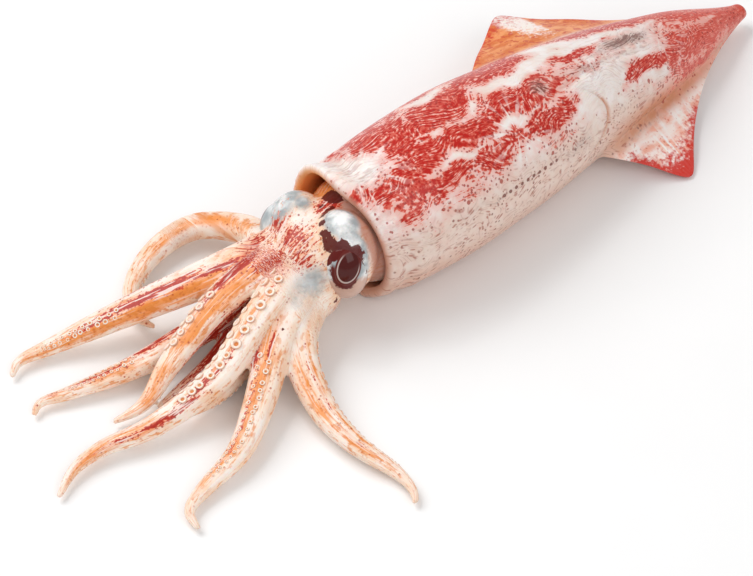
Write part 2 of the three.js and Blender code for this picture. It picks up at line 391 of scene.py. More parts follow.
# %% [markdown]
# The rings are spaced evenly along the body and closer at the tail. Round the body they crowd
# inside the fins' arcs, because there each step of the angle covers more flesh. The seam of
# each ring is under the belly. After the last outer ring the skin turns over the rim and goes
# back inside, so the mouth of the mantle is truly hollow.

# %% Make the mantle's rings
RING_POINTS, RING_COUNT = 316, 236
LIP_RINGS, MOUTH_RINGS = 7, 22
ANGLE_START = -90.0
TAIL_SHARE = 0.9996


def crowded_angles():
    """Angles whose spacing is the inverse of a density that is five times higher on fins."""
    fine = np.linspace(ANGLE_START, ANGLE_START + 360, 7201)
    density = np.ones_like(fine)
    for fin in FINS:
        density += 5.0 * (np.abs(fine - fin["angle"]) < FIN_HALF_ARC)
    reached = np.concatenate([[0], np.cumsum(density[:-1])])
    steps = np.linspace(0, reached[-1] + density[-1], RING_POINTS, endpoint=False)
    return np.interp(steps, reached, fine)


angles = crowded_angles()
spread = np.linspace(1, 0, RING_COUNT)
shares = 1 - (1 - spread) * (1 - 0.25 * spread ** 6)
shares[0] = TAIL_SHARE
outside = mantle_point(shares[:, None], angles[None], 0)
rim_turns = np.linspace(0, math.pi, LIP_RINGS + 2)[1:-1, None]
rim_inner = mantle_point(np.zeros((1, 1)), angles[None], WALL)
lip_share = (1 - np.cos(rim_turns))[..., None] / 2
lip_rings = outside[-1:] * (1 - lip_share) + rim_inner * lip_share
lip_rings[..., 0] -= RIM_ROUNDING * np.sin(rim_turns)
mouth = np.linspace(0, MOUTH_DEPTH / MANTLE_LENGTH, MOUTH_RINGS)[:, None]
inside = mantle_point(mouth, angles[None], WALL)
mouth_floor = mantle_point(np.full((1, 1), (MOUTH_DEPTH + 3) / MANTLE_LENGTH), angles[None], 3 * WALL)
mantle_rings = np.concatenate([outside, lip_rings, inside, mouth_floor])
mantle_points, mantle_faces = closed_skin(mantle_rings)
print("mantle rings:", mantle_rings.shape)

# %% [markdown]
# ## Where the colour lies on the mantle
# The colour sacs bunch into patches. A patch could be painted by hand on the mesh, but a short
# list is easier to change. Each row is one soft bell: the millimetre along the body, the degree
# round it, its half length, its half arc and its strength. The finish breaks the bells up into
# dots and streaks.

# %% Patches on the mantle
RED_PATCHES = (
    (-49, 119, 12, 22, 0.8), (-32, 108, 17, 15, 1.0), (-8, 110, 18, 14, 1.0), (-34, 131, 20, 11, 0.65),
    (-8, 132, 17, 11, 0.95), (24, 131, 18, 10, 1.15), (16, 110, 20, 11, 0.9), (-32, 88, 17, 14, 1.05),
    (-12, 80, 18, 17, 1.05), (-38, 70, 14, 18, 0.95), (16, 68, 16, 12, 1.05), (34, 66, 14, 12, 0.85),
    (24, 102, 25, 9, 0.8), (40, 112, 12, 9, 0.6), (60, 92, 14, 5, 1.1), (58, 107, 20, 9, 0.42),
    (76, 139, 9, 7, 1.15), (92, 134, 14, 8, 1.15), (106, 148, 7, 10, 1.0), (112, 130, 12, 15, 1.15),
    (100, 64, 22, 16, 1.25), (74, 64, 16, 12, 0.9), (122, 78, 16, 16, 1.15), (140, 88, 18, 20, 0.85),
    (132, 138, 26, 34, 0.8), (154, 120, 22, 80, 0.75), (164, 90, 16, 120, 1.0), (130, 48, 34, 24, 1.2),
    (90, 46, 36, 18, 1.1), (28, 50, 22, 14, 0.95), (-34, 50, 20, 14, 0.85), (0, 46, 40, 10, 0.55),
    (112, 160, 24, 14, 0.6), (120, 178, 30, 18, 0.6), (0, 10, 70, 20, 0.5), (-20, 150, 26, 8, 0.32),
    (24, 150, 18, 8, 0.36),
)
PALE_PATCHES = (
    (-54, 91, 7, 12, 1.1), (-59, 70, 4, 20, 0.6), (8, 122, 6, 5, 0.6), (50, 133, 10, 13, 1.2),
    (63, 134, 7, 12, 1.0), (2, 85, 16, 3, 0.5), (22, 87, 18, 4, 0.95), (50, 82, 20, 4, 1.0),
    (0, 97, 2.5, 8, 0.6), (-3, 56, 7, 7, 0.8), (58, 66, 11, 10, 0.7), (99, 151, 5, 7, 1.2),
    (82, 84, 14, 4, 0.8), (106, 86, 10, 5, 0.9), (145, 110, 9, 7, 0.8), (146, 64, 6, 9, 0.6),
    (78, 119, 20, 4, 0.9), (-22, 123, 12, 2.5, 0.7), (-16, 98, 9, 3, 0.4),
)
# Dark marks of the skin. The row at 36 mm and 166 degrees is painted shade in front of the fold, drawn as
# grey strokes.
DARK_PATCHES = (
    (36, 105, 8, 9, 0.7), (88, 101, 13, 9, 1.0), (100, 98, 9, 8, 0.8), (60, 110, 22, 8, 0.5),
    (-54, 62, 6, 14, 0.3), (36, 166, 14, 9, 0.5), (-20, 163, 40, 3, 0.35),
)


# %% [markdown]
# Where bells of one kind overlap, the highest counts. Red, pale and dark patches are kept
# apart, as three numbers on each point, and the fins are left out, for they have their own.

# %% Levels of the patches
def patchwork(patches, x, degrees):
    """The highest bell over each point, where slow waves make the bells' edges wander."""
    wander_x = x + 3.5 * np.sin(degrees / 8 + 1) + 2.0 * np.sin(x / 5 + degrees / 15)
    wander_degrees = degrees + 2.6 * np.sin(x / 5.7) + 1.8 * np.sin(x / 2.4 + degrees / 7)
    level = np.zeros(np.broadcast(x, degrees).shape)
    for middle_x, middle_degrees, half_length, half_arc, strength in patches:
        round_bell = bell(wander_degrees, middle_degrees, half_arc)
        level = np.maximum(level, strength * bell(wander_x, middle_x, half_length) * round_bell)
    return level


along = RIM_X + MANTLE_LENGTH * shares[:, None]
round_degrees = np.where(angles < -40, angles + 360, angles)[None]
reaches = [fin_reach(fin, along) for fin in FINS]
flaps = [fin_share(fin, angles[None]) for fin in FINS]
on_fin = smooth(sum(reach * flap for reach, flap in zip(reaches, flaps)), 1.5, 7)
red, pale, dark = [patchwork(patches, along, round_degrees) * (1 - on_fin)
                   for patches in (RED_PATCHES, PALE_PATCHES, DARK_PATCHES)]
print("share of the mantle under red patches:", round(float((red > 0.5).mean()), 2))

# %% [markdown]
# The rest of the masks follow the form: the fins' edges and tips, the near side, painted a darker
# beige as shade, the belly, beige and darker as painted shade along its lower edges, the brown
# painted shade in the hollow along the near fin's root and in the fold in front of it, the
# ashen back, and the inside of the mouth.

# %% Zones of the mantle
fin_edge = sum(flap * smooth(reach, 3, 12) for reach, flap in zip(reaches, flaps))
fin_tip = sum(flap * smooth(reach / fin["reach"], 0.72, 0.95)
              for reach, flap, fin in zip(reaches, flaps, FINS))
near_side = smooth(round_degrees, 140, 164) * (1 - smooth(along, 70, 120))
# Belly mask, used for the belly's own beige tone and for the painted shade along the lower edges.
belly = smooth(round_degrees + 16 * smooth(along, 45, 90), 180, 204)
belly = np.clip(belly + 1 - smooth(round_degrees, -20, 12), 0, 1)
# Painted shade in the fold's crease and in the hollow along the near fin's root.
fold_crease_shade = bell(along, fold_place(round_degrees), 0.9)
fold_crease_shade = fold_crease_shade * smooth(round_degrees, 126, 142) * (1 - smooth(round_degrees, 180, 196))
root_hollow_shade = smooth(round_degrees, 158, 186) * (1 - smooth(round_degrees, 198, 208)) * bell(along, 102, 50)
root_hollow_shade = np.maximum(root_hollow_shade * smooth(along, 44, 66), 1.1 * fold_crease_shade)
back_ash = bell(along, 78, 42) * bell(round_degrees, 108, 24)
back_ash = np.maximum(back_ash, bell(along, -56, 8) * bell(round_degrees, 80, 60)) * (1 - on_fin)
inner = np.concatenate([np.zeros(RING_COUNT), np.linspace(0.2, 1, LIP_RINGS), np.ones(MOUTH_RINGS + 1)])
inner = np.concatenate([np.repeat(inner, RING_POINTS), [0, 1]])
print("share of the mantle that is belly:", round(float((belly > 0.5).mean()), 2))

# %% [markdown]
# Streaks run lengthwise and curve gently. Two numbers on each point give them a flat map: the
# length along the body and the arc round it. The finish bends this map with a slow noise.
# White lines also fan out from a few places where the skin is drawn together. Each point
# keeps its direction and distance from the nearest of these.

# %% Directions of the streaks and the fans
FANS = ((8, 128), (-56, 92), (106, 110), (60, 128))
OUT_OF_REACH = 99.0
streak_over = along + 0 * round_degrees
streak_across = np.radians(round_degrees) * GIRTH + 0 * along
fan_x, fan_y = np.ones_like(streak_over), np.zeros_like(streak_over)
fan_far = np.full_like(streak_over, OUT_OF_REACH)
for place_x, place_degrees in FANS:
    from_x = streak_over - place_x
    from_y = streak_across - math.radians(place_degrees) * GIRTH
    far = np.hypot(from_x, from_y)
    nearer = far < fan_far
    fan_x = np.where(nearer, from_x / (far + 0.3), fan_x)
    fan_y = np.where(nearer, from_y / (far + 0.3), fan_y)
    fan_far = np.where(nearer, far, fan_far)

# %% [markdown]
# ## The skin of the mantle
# Fresh squid skin is a wet film over white flesh. It could be a painted picture, but a finish
# worked out from the masks and some noises has no seams and stays sharp from close by. A thin
# coat gives the wet gloss, and a little light under the surface makes the flesh look soft.
# The noises come first: slow clouds, clumps, grain, streaks, and whorls. A whorl is the sine
# of a slow noise, which gives fine lines that run side by side as on a fingertip.

# %% Masks and noises of the mantle
WET = {"Coat_Weight": 0.3, "Coat_Roughness": 0.1, "Specular_IOR_Level": 0.15,
       "Subsurface_Weight": 0.1, "Subsurface_Scale": 0.003}
WHORL_LINES = 95

skin = Finish("mantle_skin", **WET)
spot = skin.place()
along_level, side_level, _ = skin.parts(spot)
red_level, pale_level, dark_level = skin.parts(skin.note("patches"))
fin_level, edge_level, flank_level = skin.parts(skin.note("zones"))
belly_level, inner_level, root_hollow_shade_level = skin.parts(skin.note("under"))
tip_level, back_level, _ = skin.parts(skin.note("tips"))
far_level = side_level.rise(0, 12)
tail_level = along_level.rise(80, 150)
lines = skin.bend(skin.note("streaks"), 0.045, 26.0)

cloud = skin.noise(spot, 0.10, detail=2)
clump = skin.noise(spot, 0.28, detail=2)
grain = skin.noise(spot, 0.55, detail=4)
fine = skin.drawn(lines, (0.42, 0.95, 1)).rise(0.34, 0.66)
streak = skin.drawn(lines, (0.11, 0.72, 1)).rise(0.30, 0.70)
whorl = skin.math("SINE", skin.drawn(lines, (0.040, 0.085, 1), detail=1) * WHORL_LINES, 0)

# %% White flesh, with painted shade on the near side, the belly and the fin's root
skin.body = skin.blend(cloud.rise(0.35, 0.7), "#F4ECE8", "#EAD7CD")
# Painted shade: the near side is made a darker beige. The same mask also sets the near side's dots and
# dashes further down.
skin.paint(flank_level * 0.9, "#E3CDC0")
skin.paint(tail_level * 0.9, "#E99484")
# The belly is a darker beige: partly its own tone, partly painted shade along the lower edges.
skin.paint(belly_level * 0.85, "#DDB5A0")
# Brown painted shade in the hollow along the near fin's root and in the fold's crease.
skin.paint(root_hollow_shade_level * 0.85, "#C97C4E")

# %% [markdown]
# Red lies in the patches as fine curved lines. Each point has a level, from its patch, and a
# need, from the noises. Colour shows where the level is over the need, so a patch is full in
# its middle and breaks into lines and dots at its border. White rays cut through it.

# %% Red patches
fan_line = skin.note("fans")
fan_distance = skin.parts(fan_line)[2]
rays = skin.drawn(fan_line, (4.2, 4.2, 0.05), detail=2).rise(0.54, 0.64)
rays = rays * fan_distance.fall(6, 24) * fan_distance.rise(0, 5)
level = red_level * 1.25 + (cloud - 0.5) * 0.8 + (clump - 0.5) * 0.8 - pale_level * 0.8 - rays * 0.4
level = skin.math("MINIMUM", level * (1 - flank_level * 0.35), 0.74)
need = streak * 0.26 + fine * 0.40 + whorl.rise(-0.9, 0.9) * 0.17 + grain.rise(0.35, 0.65) * 0.22
over = level - need
ink = over.rise(-0.08, 0.08)
red_tone = skin.blend(over.rise(-0.02, 0.4), "#DE6C5A", "#BC1B12")
red_tone = skin.blend(tail_level * 0.6, red_tone, "#E4604D")
skin.paint(level.rise(-0.2, 0.5) * (0.66 - flank_level * 0.4), "#EDA093")
skin.paint(ink, red_tone)
skin.paint(rays * level.rise(-0.3, 0.3) * 0.7, "#F6E3DD")

# %% [markdown]
# Single sacs are dots: small ones near the red, brown ones and short dashes on the near side,
# with thin curved lines between them. One straight row of dark beads runs along that side.
# Its spacing comes from a zigzag over the length, so it needs no list of places.

# %% Dots, dashes and beads
BEAD_DEGREES, BEAD_SPACING = 164.0, 3.4

dots = skin.cells(spot, 0.55)
dot_chance = skin.chance(spot, 0.55)
wanted = level.rise(-0.15, 0.5) * (0.9 - tail_level * 0.5) + flank_level * 0.05
dot = dots.fall(0.22, 0.38) * (wanted - dot_chance).rise(-0.02, 0.02)
skin.paint(dot * 0.8, skin.blend(flank_level, "#A5231B", "#84483A"))
skin.paint(flank_level * clump.rise(0.4, 0.62) * 0.35, "#D9B7A6")
thin_lines = whorl.rise(0.72, 0.95) * flank_level * clump.rise(0.42, 0.56) * level.fall(0.1, 0.4)
skin.paint(thin_lines * 0.42, "#A9796A")
long_cells = skin.stretch(lines, (0.34, 0.66, 1))
dash = skin.cells(long_cells, 1.0).fall(0.22, 0.44) * skin.chance(long_cells, 1.0).fall(0.62, 0.66)
skin.paint(dash * flank_level * cloud.rise(0.34, 0.5) * 0.65, "#A04C36")
row_x, row_arc, _ = skin.parts(skin.note("streaks"))
bead_x = skin.math("PINGPONG", row_x, BEAD_SPACING / 2)
bead_y = row_arc - math.radians(BEAD_DEGREES) * GIRTH
bead = (bead_x * bead_x + bead_y * bead_y + (grain - 0.5) * 2.0).fall(0.5, 1.0)
skin.paint(bead * row_x.rise(-14, -12) * row_x.fall(22, 24) * 0.85, "#6E2A1C")
near_red = red_level.rise(0.04, 0.25) * skin.chance(spot, 0.28).fall(0.45, 0.5) * flank_level.rise(0.0, 0.3)
large = skin.cells(spot, 0.28).fall(0.20, 0.28) * near_red
skin.paint(large.rise(0.1, 0.3) * 0.8, "#A8402F")

# %% Dark marks, painted shade in front of the fold, white skin and ash
# The dark patches are dark marks of the skin, plus painted shade in front of the near side's fold.
skin.paint(dark_level.rise(0.1, 0.9) * 0.6, "#A89089")
skin.paint((dark_level * 1.2 - need * 1.2).rise(0.0, 0.34) * 0.75, "#6E4238")
skin.paint((pale_level + (fine - 0.5) * 0.6).rise(0.6, 1.2) * 0.6, "#F1E9E5")
ash = (streak - fine * 0.6 + (clump - 0.5)).rise(0.1, 0.7) * back_level * (1 - ink)
skin.paint(ash * 0.55, "#B9928A")

# %% [markdown]
# The near fin is pink and white, with white rays that spread from its tip. The far fin is
# amber with a white tip. Both have a ragged red edge.

# %% Colour of the fins
NEAR_FIN_TIP = (84.0, -64.0)

fin_streak = skin.drawn(spot, (0.10, 0.22, 0.3))
rib = skin.drawn(spot, (0.28, 0.05, 0.1)).rise(0.54, 0.64)
near_fin = skin.blend(fin_streak.rise(0.38, 0.68), "#FFEDE6", "#F7B7A2")
near_fin = skin.blend(rib * 0.5, near_fin, "#FFFBF8")
from_tip = skin.math("ARCTAN2", side_level - NEAR_FIN_TIP[1], along_level - NEAR_FIN_TIP[0])
tip_rays = skin.noise(from_tip * 7.5, 1.0, detail=1).rise(0.52, 0.60) * tip_level.rise(0.05, 0.5)
near_fin = skin.blend(tip_rays * 0.8, near_fin, "#FFFDFB")
far_fin = skin.blend(fin_streak.rise(0.36, 0.62), "#F0A066", "#DC7436")
specks = skin.noise(spot, 0.3, detail=2).rise(0.57, 0.62)
far_fin = skin.blend(specks * 0.7, far_fin, "#CB4A2E")
white_tip = (tip_level + (grain - 0.5) * 0.8).rise(0.2, 0.5)
far_fin = skin.blend(white_tip * 0.92, far_fin, "#FDF3ED")
fin_colour = skin.blend(far_level, near_fin, far_fin)
fin_dots = skin.cells(spot, 0.62).fall(0.22, 0.42) * dot_chance.fall(0.35, 0.4)
fin_colour = skin.blend(fin_dots * 0.5, fin_colour, "#D0583C")
edge = edge_level + along_level.fall(64, 84) * (1 - far_level) * 0.1
edge = edge + tip_level * (1 - far_level) * 0.26 - far_level * 0.14
edge = (edge + (grain - 0.5) * 1.1).rise(0.62, 1.02)
fin_colour = skin.blend(edge * 0.95, fin_colour, "#CF2413")
skin.paint(fin_level, fin_colour)

# %% Lining, relief and gloss
# The lining is orange. On the near side it is painted browner, as shade.
skin.paint(inner_level.rise(0.1, 0.8), skin.blend(far_level, "#D9A58C", "#F0A868"))
height = streak * 0.3 + fine * 0.25 + grain * 0.3 + dot * 0.15
mantle_skin = skin.set(Base_Color=skin.body, Roughness=0.3 + grain * 0.22,
                       Normal=skin.relief(height, 0.35, 0.6))

# %% [markdown]
# The mesh gets the masks as attributes, under the names that the finish reads. An attribute
# is smooth across faces, needs no unwrapping, and goes with the mesh when it is exported.

# %% Make the mantle
def on_rings(values):
    """Spread values over the outer rings, and repeat the rim's over the lip and the inside."""
    values = np.broadcast_to(values, outside.shape[:2])
    rest = np.repeat(values[-1:], len(mantle_rings) - len(outside), axis=0)
    flat = np.concatenate([values, rest])
    return np.concatenate([flat.ravel(), [flat[0].mean(), flat[-1].mean()]])


mantle = make_piece("mantle_with_fins", mantle_points, mantle_faces, mantle_skin)
note(mantle, "patches", [on_rings(red), on_rings(pale), on_rings(dark)])
note(mantle, "zones", [on_rings(on_fin), on_rings(fin_edge), on_rings(near_side)])
note(mantle, "under", [on_rings(belly), inner, on_rings(root_hollow_shade)])
note(mantle, "tips", [on_rings(fin_tip), on_rings(back_ash)])
note(mantle, "fans", [on_rings(fan_x), on_rings(fan_y), on_rings(fan_far)])
note(mantle, "streaks", [on_rings(streak_over), on_rings(streak_across)])
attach(mantle, "root")
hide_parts("squid")

# %% [markdown]
# ## Head, arms and tentacles
# The head is a few rounded masses that run together, and the limbs grow out of it with soft
# fillets. Cutting such joins by hand is hopeless, so the masses and the limbs are made as
# separate closed skins, melted into one by a voxel remesh, and smoothed a little.

# %% Sizes of the head and the limbs
HEAD_MASSES = (
    ((-54, -1, 27), (38, 18, 18)),
    ((-56, -1.5, 25), (14, 23, 22)),
    ((-80, -1, 24), (17, 18, 18)),
    ((-72, -10.5, 30.5), (12, 15, 18)),
    ((-74, 12.5, 28.5), (12.5, 13, 15.5)),
    ((-87, -6, 18), (13, 15, 13)),
)
EYES = {
    "eye_left": ((-76.5, -17, 28.5), (9, 9, 13.5), (-0.47, -0.70, 0.53), 1.0),
    "eye_right": ((-78, 17.5, 26.5), (9, 9, 12), (-0.15, 0.97, 0.10), 0.0),
}
LIMB_TAPER, LIMB_TIP, LIMB_FLATNESS = 1.8, 1.1, 0.8
LIMBS = {
    "upper_right": (7.6, ((-84, 10, 28), (-116, 22, 21), (-144, 36, 12), (-171, 47, 5),
                          (-185, 50, 4), (-192, 46, 2.5))),
    "lower_right": (6.2, ((-90, 10, 20), (-105, 10, 14), (-128, 13, 7), (-156, 16, 6),
                          (-181, 24, 4), (-192, 28, 3.5), (-198, 25, 2.5))),
    "upper_middle": (6.6, ((-86, 6, 30), (-120, 7, 22), (-147, 4, 12), (-165, -1, 6), (-179, 2, 3))),
    "long_middle": (6.2, ((-86, -2, 28), (-115, -10, 23), (-142, -16, 14), (-170, -13, 7),
                          (-190, -7, 5), (-204, -7, 4), (-217, -13, 2.5))),
    "under_middle": (7.4, ((-90, -2, 18), (-112, -5, 10), (-139, -15, 6), (-159, -15, 4))),
    "left": (6.8, ((-86, -8, 24), (-112, -18, 18), (-137, -34, 10), (-156, -44, 6.5),
                   (-175, -47, 4), (-186, -51, 3.5), (-189, -60, 2.5))),
    "lower_left": (6.2, ((-84, -10, 20), (-108, -25, 14), (-119, -48, 8), (-122, -69, 6.5),
                         (-119, -89, 4), (-120, -99, 3.2), (-124, -105, 2.5))),
    "tucked_left": (5.5, ((-88, -6, 13), (-110, -14, 6.5), (-128, -26, 5), (-146, -38, 3.5))),
    "right_tentacle": (6.0, ((-84, 18, 22), (-81, 38, 14), (-90, 57, 8), (-109, 59, 6),
                             (-128, 51, 5), (-137, 38, 5), (-135, 28, 3.5))),
    "left_tentacle": (4.5, ((-88, 2, 13), (-112, 3, 6), (-134, -2, 4.5), (-162, -4, 3))),
}

# %% [markdown]
# A limb follows a smooth curve through a few given places. The curve passes through each
# place with the direction of its two neighbours, and is then measured off in even steps, so
# that its taper depends on the length and not on where the places happen to be.

# %% Curves and sections of the limbs
LIMB_RINGS, LIMB_SIDES = 150, 44


def even_curve(places, count):
    """A Catmull-Rom curve through the places, with its points an equal length apart."""
    knots = np.array(places, float)
    knots = np.vstack([2 * knots[0] - knots[1], knots, 2 * knots[-1] - knots[-2]])
    spans = len(places) - 1
    u = np.linspace(0, spans, 1200)
    k = np.minimum(u.astype(int), spans - 1)
    q = (u - k)[:, None]
    a, b, c, d = knots[k], knots[k + 1], knots[k + 2], knots[k + 3]
    square, cube = 2 * a - 5 * b + 4 * c - d, 3 * b - a - 3 * c + d
    curve = 0.5 * (2 * b + (c - a) * q + square * q ** 2 + cube * q ** 3)
    run = np.concatenate([[0], np.cumsum(np.linalg.norm(np.diff(curve, axis=0), axis=1))])
    even = np.linspace(0, run[-1], count)
    return np.stack([np.interp(even, run, curve[:, axis]) for axis in range(3)], -1), run[-1]


def unit(vectors):
    return vectors / np.linalg.norm(vectors, axis=-1, keepdims=True)


def limb_frames(places, count):
    """Centre, direction along, direction across and direction up at each step."""
    centre, length = even_curve(places, count)
    forward = unit(np.gradient(centre, axis=0))
    across = unit(np.cross((0.0, 0.0, 1.0), forward))
    return centre, forward, across, np.cross(forward, across), length


def half_width(width, t):
    """width x (1 - t^1.8)^0.9 + tip, closed off in a round end."""
    body = width * np.maximum(1 - t ** LIMB_TAPER, 0) ** 0.9 + LIMB_TIP
    return body * np.sqrt(np.clip(1 - (np.maximum(t - 0.985, 0) / 0.0152) ** 2, 0, 1))


def limb_surface(width, frames, t, turn):
    """A slightly flattened section with a keel on its back and a shallow sucker bed."""
    centre, _, across, up, _ = frames
    half = half_width(width, t)[:, None]
    bed = 1 - 0.05 * bell(turn, math.pi / 2, 0.35)
    ridges = 1 + 0.05 * (bell(turn, math.pi / 2 - 0.75, 0.25) + bell(turn, math.pi / 2 + 0.75, 0.25))
    size = half * bed * ridges
    point = centre[:, None] + (size * np.cos(turn))[..., None] * across[:, None]
    point = point + (LIMB_FLATNESS * size * np.sin(turn))[..., None] * up[:, None]
    point[..., 2] = np.maximum(point[..., 2], 0)
    return point


def ball(centre, half, rows=40, sides=56):
    """Rings of an ellipsoid from one pole to the other along x."""
    tilt = np.linspace(0, math.pi, rows + 1)[1:-1, None]
    turn = np.linspace(0, 2 * math.pi, sides, endpoint=False)[None]
    unit_ball = np.stack(np.broadcast_arrays(-np.cos(tilt), np.sin(tilt) * np.cos(turn),
                                             np.sin(tilt) * np.sin(turn)), -1)
    return np.array(centre) + np.array(half) * unit_ball


limb_lines = {name: limb_frames(places, LIMB_RINGS) for name, (_, places) in LIMBS.items()}
print("limb lengths, mm:", {name: round(float(line[4])) for name, line in limb_lines.items()})

# %% [markdown]
# The melt turns all the skins into one closed mesh of small squares. They are smaller than the
# ridges along the limbs are wide, so the ridges stay.

# %% Melt the masses and limbs into one skin
VOXEL = 0.8 * MM


def melted(skins, voxel):
    """Join closed skins into one object, remesh it by voxels, and give back its mesh."""
    points, faces, start = [], [], 0
    for skin_points, skin_faces in skins:
        points.append(skin_points)
        faces += [[corner + start for corner in face] for face in skin_faces]
        start += len(skin_points)
    mesh = bpy.data.meshes.new("unmelted")
    mesh.from_pydata((np.vstack(points) * MM).tolist(), [], faces)
    lump = bpy.data.objects.new("unmelted", mesh)
    scene.collection.objects.link(lump)
    remesh = lump.modifiers.new("melt", "REMESH")
    remesh.mode = "VOXEL"
    remesh.voxel_size = voxel
    depsgraph = bpy.context.evaluated_depsgraph_get()
    result = bpy.data.meshes.new_from_object(lump.evaluated_get(depsgraph))
    bpy.data.objects.remove(lump)
    bpy.data.meshes.remove(mesh)
    return result


def mesh_arrays(mesh):
    """Points in millimetres, the edges, and the faces as an array of four corners."""
    points = np.empty(len(mesh.vertices) * 3)
    mesh.vertices.foreach_get("co", points)
    edges = np.empty(len(mesh.edges) * 2, dtype=np.int64)
    mesh.edges.foreach_get("vertices", edges)
    corners = np.empty(len(mesh.loops), dtype=np.int64)
    mesh.loops.foreach_get("vertex_index", corners)
    return points.reshape(-1, 3) / MM, edges.reshape(-1, 2), corners.reshape(-1, 4)


def relaxed(points, edges, amount, steps):
    """Move each point towards the mean of its neighbours, by an amount given per point."""
    neighbours = np.bincount(edges.ravel(), minlength=len(points))[:, None]
    for _ in range(steps):
        total = np.zeros_like(points)
        np.add.at(total, edges[:, 0], points[edges[:, 1]])
        np.add.at(total, edges[:, 1], points[edges[:, 0]])
        points = points + amount[:, None] * (total / neighbours - points)
    return points


turn = np.linspace(0, 2 * math.pi, LIMB_SIDES, endpoint=False)[None]
steps_along = np.linspace(0, 1, LIMB_RINGS)
flesh = [closed_skin(ball(centre, half)) for centre, half in HEAD_MASSES]
for name, (width, _) in LIMBS.items():
    rings = limb_surface(width, limb_lines[name], steps_along, turn)
    flesh.append(closed_skin(rings[:-1]))
melted_mesh = melted(flesh, VOXEL)
head_points, head_edges, head_faces = mesh_arrays(melted_mesh)
print("melted head and limbs:", len(head_points), "points")

# %% [markdown]
# The melt leaves tight creases where limbs leave the head. Relaxing the points rounds them:
# a light pass everywhere takes off the voxel steps, and a longer pass near the head makes
# the fillets.

# %% Smooth the joins
RELAX_SHARE, ALL_STEPS, HEAD_STEPS = 0.5, 3, 14

near_head = 1 - smooth(-head_points[:, 0], 96, 122)
head_points = relaxed(head_points, head_edges, RELAX_SHARE * np.ones(len(near_head)), ALL_STEPS)
head_points = relaxed(head_points, head_edges, RELAX_SHARE * near_head, HEAD_STEPS)
head_points[:, 2] = np.maximum(head_points[:, 2], 0)

# %% [markdown]
# ## Knowing which limb a point is on
# The colour patches of a limb are set by the share of its length and the angle round it.
# After the melt those numbers are gone, so each point finds them again from the nearest
# centre line, measured in that limb's own half widths.

# %% Limb coordinates of every point
BLOCK = 20000


def nearest_limb(points):
    """Index of the limb, share of its length, angle round it and length along, per point."""
    best = np.full(len(points), np.inf)
    found = np.zeros((4, len(points)))
    for index, (name, (width, _)) in enumerate(LIMBS.items()):
        centre, forward, across, up, length = limb_lines[name]
        every = slice(0, LIMB_RINGS, 2)
        lines, halves = centre[every], half_width(width, steps_along)[every] + 0.6
        for start in range(0, len(points), BLOCK):
            block = slice(start, start + BLOCK)
            offset = points[block, None] - lines[None]
            scaled = np.linalg.norm(offset, axis=2) / halves[None]
            step = scaled.argmin(1)
            rows = np.arange(len(step))
            closer = scaled[rows, step] < best[block]
            away = offset[rows, step]
            ahead, aside, above = [(away * way[every][step]).sum(1) for way in (forward, across, up)]
            angle = np.degrees(np.arctan2(above, aside))
            share = steps_along[every][step] + ahead / length
            fresh = np.stack([np.full(len(step), index), share, angle, share * length])
            found[:, block] = np.where(closer, fresh, found[:, block])
            best[block] = np.where(closer, scaled[rows, step], best[block])
    return found, best


limb_facts, limb_distance = nearest_limb(head_points)
limb_index, limb_share, limb_angle, limb_run = limb_facts
limb_names = list(LIMBS)
print("points on each limb:", {n: int((limb_index == i).sum()) for i, n in enumerate(limb_names)})

# %% [markdown]
# ## Where the colour lies on the head and limbs
# A spot on the head is a bell about a place, with a half size each way. A spot on a limb is a
# bell in its share and angle. The kinds are red patches, pale flesh, peach flesh, brown painted
# shade in the collar's gap under the mantle's rim and on the undersides, maroon stains, and
# the silver film over the eyes.

# %% Spots on the head and limbs
HEAD_SPOTS = {
    "red": (
        ((-68, 2, 44), (4.5, 4.5, 5), 1.4), ((-88, 0, 39), (9, 9, 8), 0.6),
        ((-85, 12, 37), (8, 6, 6), 0.6), ((-98, 3, 32), (10, 8, 8), 0.65),
        ((-91, -8, 36), (7, 5, 6), 0.55), ((-94, 14, 32), (8, 5, 6), 0.5)),
    "maroon": (
        ((-64, 4, 43.5), (3, 5, 5), 1.5), ((-69.5, 4, 44), (2, 2, 4), 0.9),
        ((-70, -1, 44.5), (3, 2, 4), 1.2), ((-73.5, -2, 44.5), (2.5, 2, 4), 1.0),
        ((-77, -5, 44), (2, 2, 3.5), 1.0), ((-79.5, -9, 42.5), (2.5, 3, 4), 1.0),
        ((-81, -13, 42), (3.5, 4, 5), 1.05), ((-79, -18, 41), (4, 4, 5), 1.1),
        ((-76, -22, 39), (4, 4, 5), 1.05), ((-85, -21, 20), (3, 4, 4), 0.6)),
    "silver": (
        ((-73, -11, 45), (6, 8, 12), 1.6), ((-76, -20, 37), (5.5, 8, 14), 1.6),
        ((-77, 17, 38), (10, 8, 10), 1.3), ((-74, 10, 44), (5, 5, 5), 0.9),
        ((-91, -14, 29), (12, 8, 11), 0.72)),
    "pale": (((-94, -11, 31), (11, 7, 8), 0.9), ((-79, 4, 43), (8, 6, 6), 1.0)),
    # Brown is painted shade: in the gap between the head and the mantle's rim, over the neck's flesh, and
    # low under the left eye.
    "brown": (((-65, -14, 35), (6.5, 18, 24), 1.5), ((-84, -19, 14), (9, 9, 8), 0.5)),
    "peach": (((-100, 10, 22), (16, 10, 10), 0.7), ((-60, 16, 38), (7, 13, 18), 1.8)),
}
